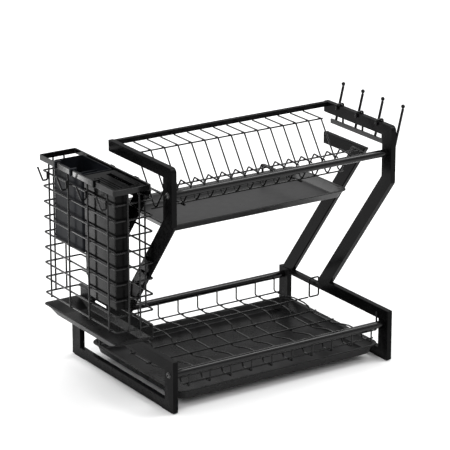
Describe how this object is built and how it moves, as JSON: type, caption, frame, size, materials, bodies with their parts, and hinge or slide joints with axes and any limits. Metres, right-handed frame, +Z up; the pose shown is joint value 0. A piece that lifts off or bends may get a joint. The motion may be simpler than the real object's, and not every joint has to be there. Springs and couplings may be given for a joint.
{
  "type": "dish drying rack",
  "caption": "Tiered black wire dish drying rack on Z-shaped side frames, with drip trays, a hanging utensil basket and a hanging cup holder",
  "frame": {"origin": "middle of the whole object's box, on the surface that it stands on", "axes": "+X to the cup holder's side along the rack's length, +Y from the front to the back, +Z up"},
  "size_m": [0.5376, 0.312, 0.4275],
  "materials": {
    "frame_coat": "satin black powder coat on steel",
    "wire_coat": "satin black coated steel wire",
    "tray_coat": "smooth black coated sheet with a soft sheen",
    "black_rubber": "matte black",
    "cup_plastic": "dark blue-grey, lightly textured",
    "block_plastic": "dark grey, lightly textured",
    "screw_steel": "black coated screw heads"
  },
  "bodies": {
    "rack": {"left_lower_loop": "frame_coat", "right_lower_loop": "frame_coat", "left_front_tube": "frame_coat", "right_front_tube": "frame_coat", "left_back_tube": "frame_coat", "right_back_tube": "frame_coat", "tube_end_caps": "black_rubber", "foot_pads": "black_rubber", "frame_screws": "screw_steel", "upper_front_rail": "frame_coat", "upper_back_rail": "frame_coat", "lower_front_rail": "frame_coat", "lower_back_rail": "frame_coat", "plate_wires": "wire_coat", "plate_long_wires": "wire_coat", "bowl_wires": "wire_coat", "bowl_long_wires": "wire_coat", "bowl_rack_loops": "wire_coat", "tray_runners": "wire_coat"},
    "upper_tray": {"upper_drip_tray": "tray_coat"},
    "lower_tray": {"lower_drip_tray": "tray_coat"},
    "basket": {"basket_rim": "frame_coat", "basket_rings": "wire_coat", "basket_uprights": "wire_coat", "basket_hangers": "frame_coat", "basket_hooks": "wire_coat"},
    "cutlery_holder": {"cutlery_cup": "cup_plastic"},
    "knife_holder": {"knife_block": "block_plastic"},
    "side_tray": {"side_drip_tray": "tray_coat"},
    "cup_holder": {"cup_holder_bar": "frame_coat", "cup_prongs": "wire_coat", "cup_holder_hooks": "wire_coat", "prong_tips": "black_rubber"}
  },
  "joints": [
    {"name": "upper_tray_slide", "type": "slide", "parent": "rack", "child": "upper_tray", "axis": [0, -1, 0], "range_m": [0, 0.2]},
    {"name": "lower_tray_slide", "type": "slide", "parent": "rack", "child": "lower_tray", "axis": [0, -1, 0], "range_m": [0, 0.3]},
    {"name": "basket_lift", "type": "slide", "parent": "rack", "child": "basket", "axis": [-0.45, 0, 0.893], "range_m": [0, 0.4]},
    {"name": "cutlery_cup_lift", "type": "slide", "parent": "basket", "child": "cutlery_holder", "axis": [0, 0, 1], "range_m": [0, 0.14]},
    {"name": "knife_block_lift", "type": "slide", "parent": "basket", "child": "knife_holder", "axis": [0, 0, 1], "range_m": [0, 0.2]},
    {"name": "side_tray_slide", "type": "slide", "parent": "basket", "child": "side_tray", "axis": [0, -1, 0], "range_m": [0, 0.24]},
    {"name": "cup_holder_lift", "type": "slide", "parent": "rack", "child": "cup_holder", "axis": [0, 0, 1], "range_m": [0, 0.08]}
  ]
}
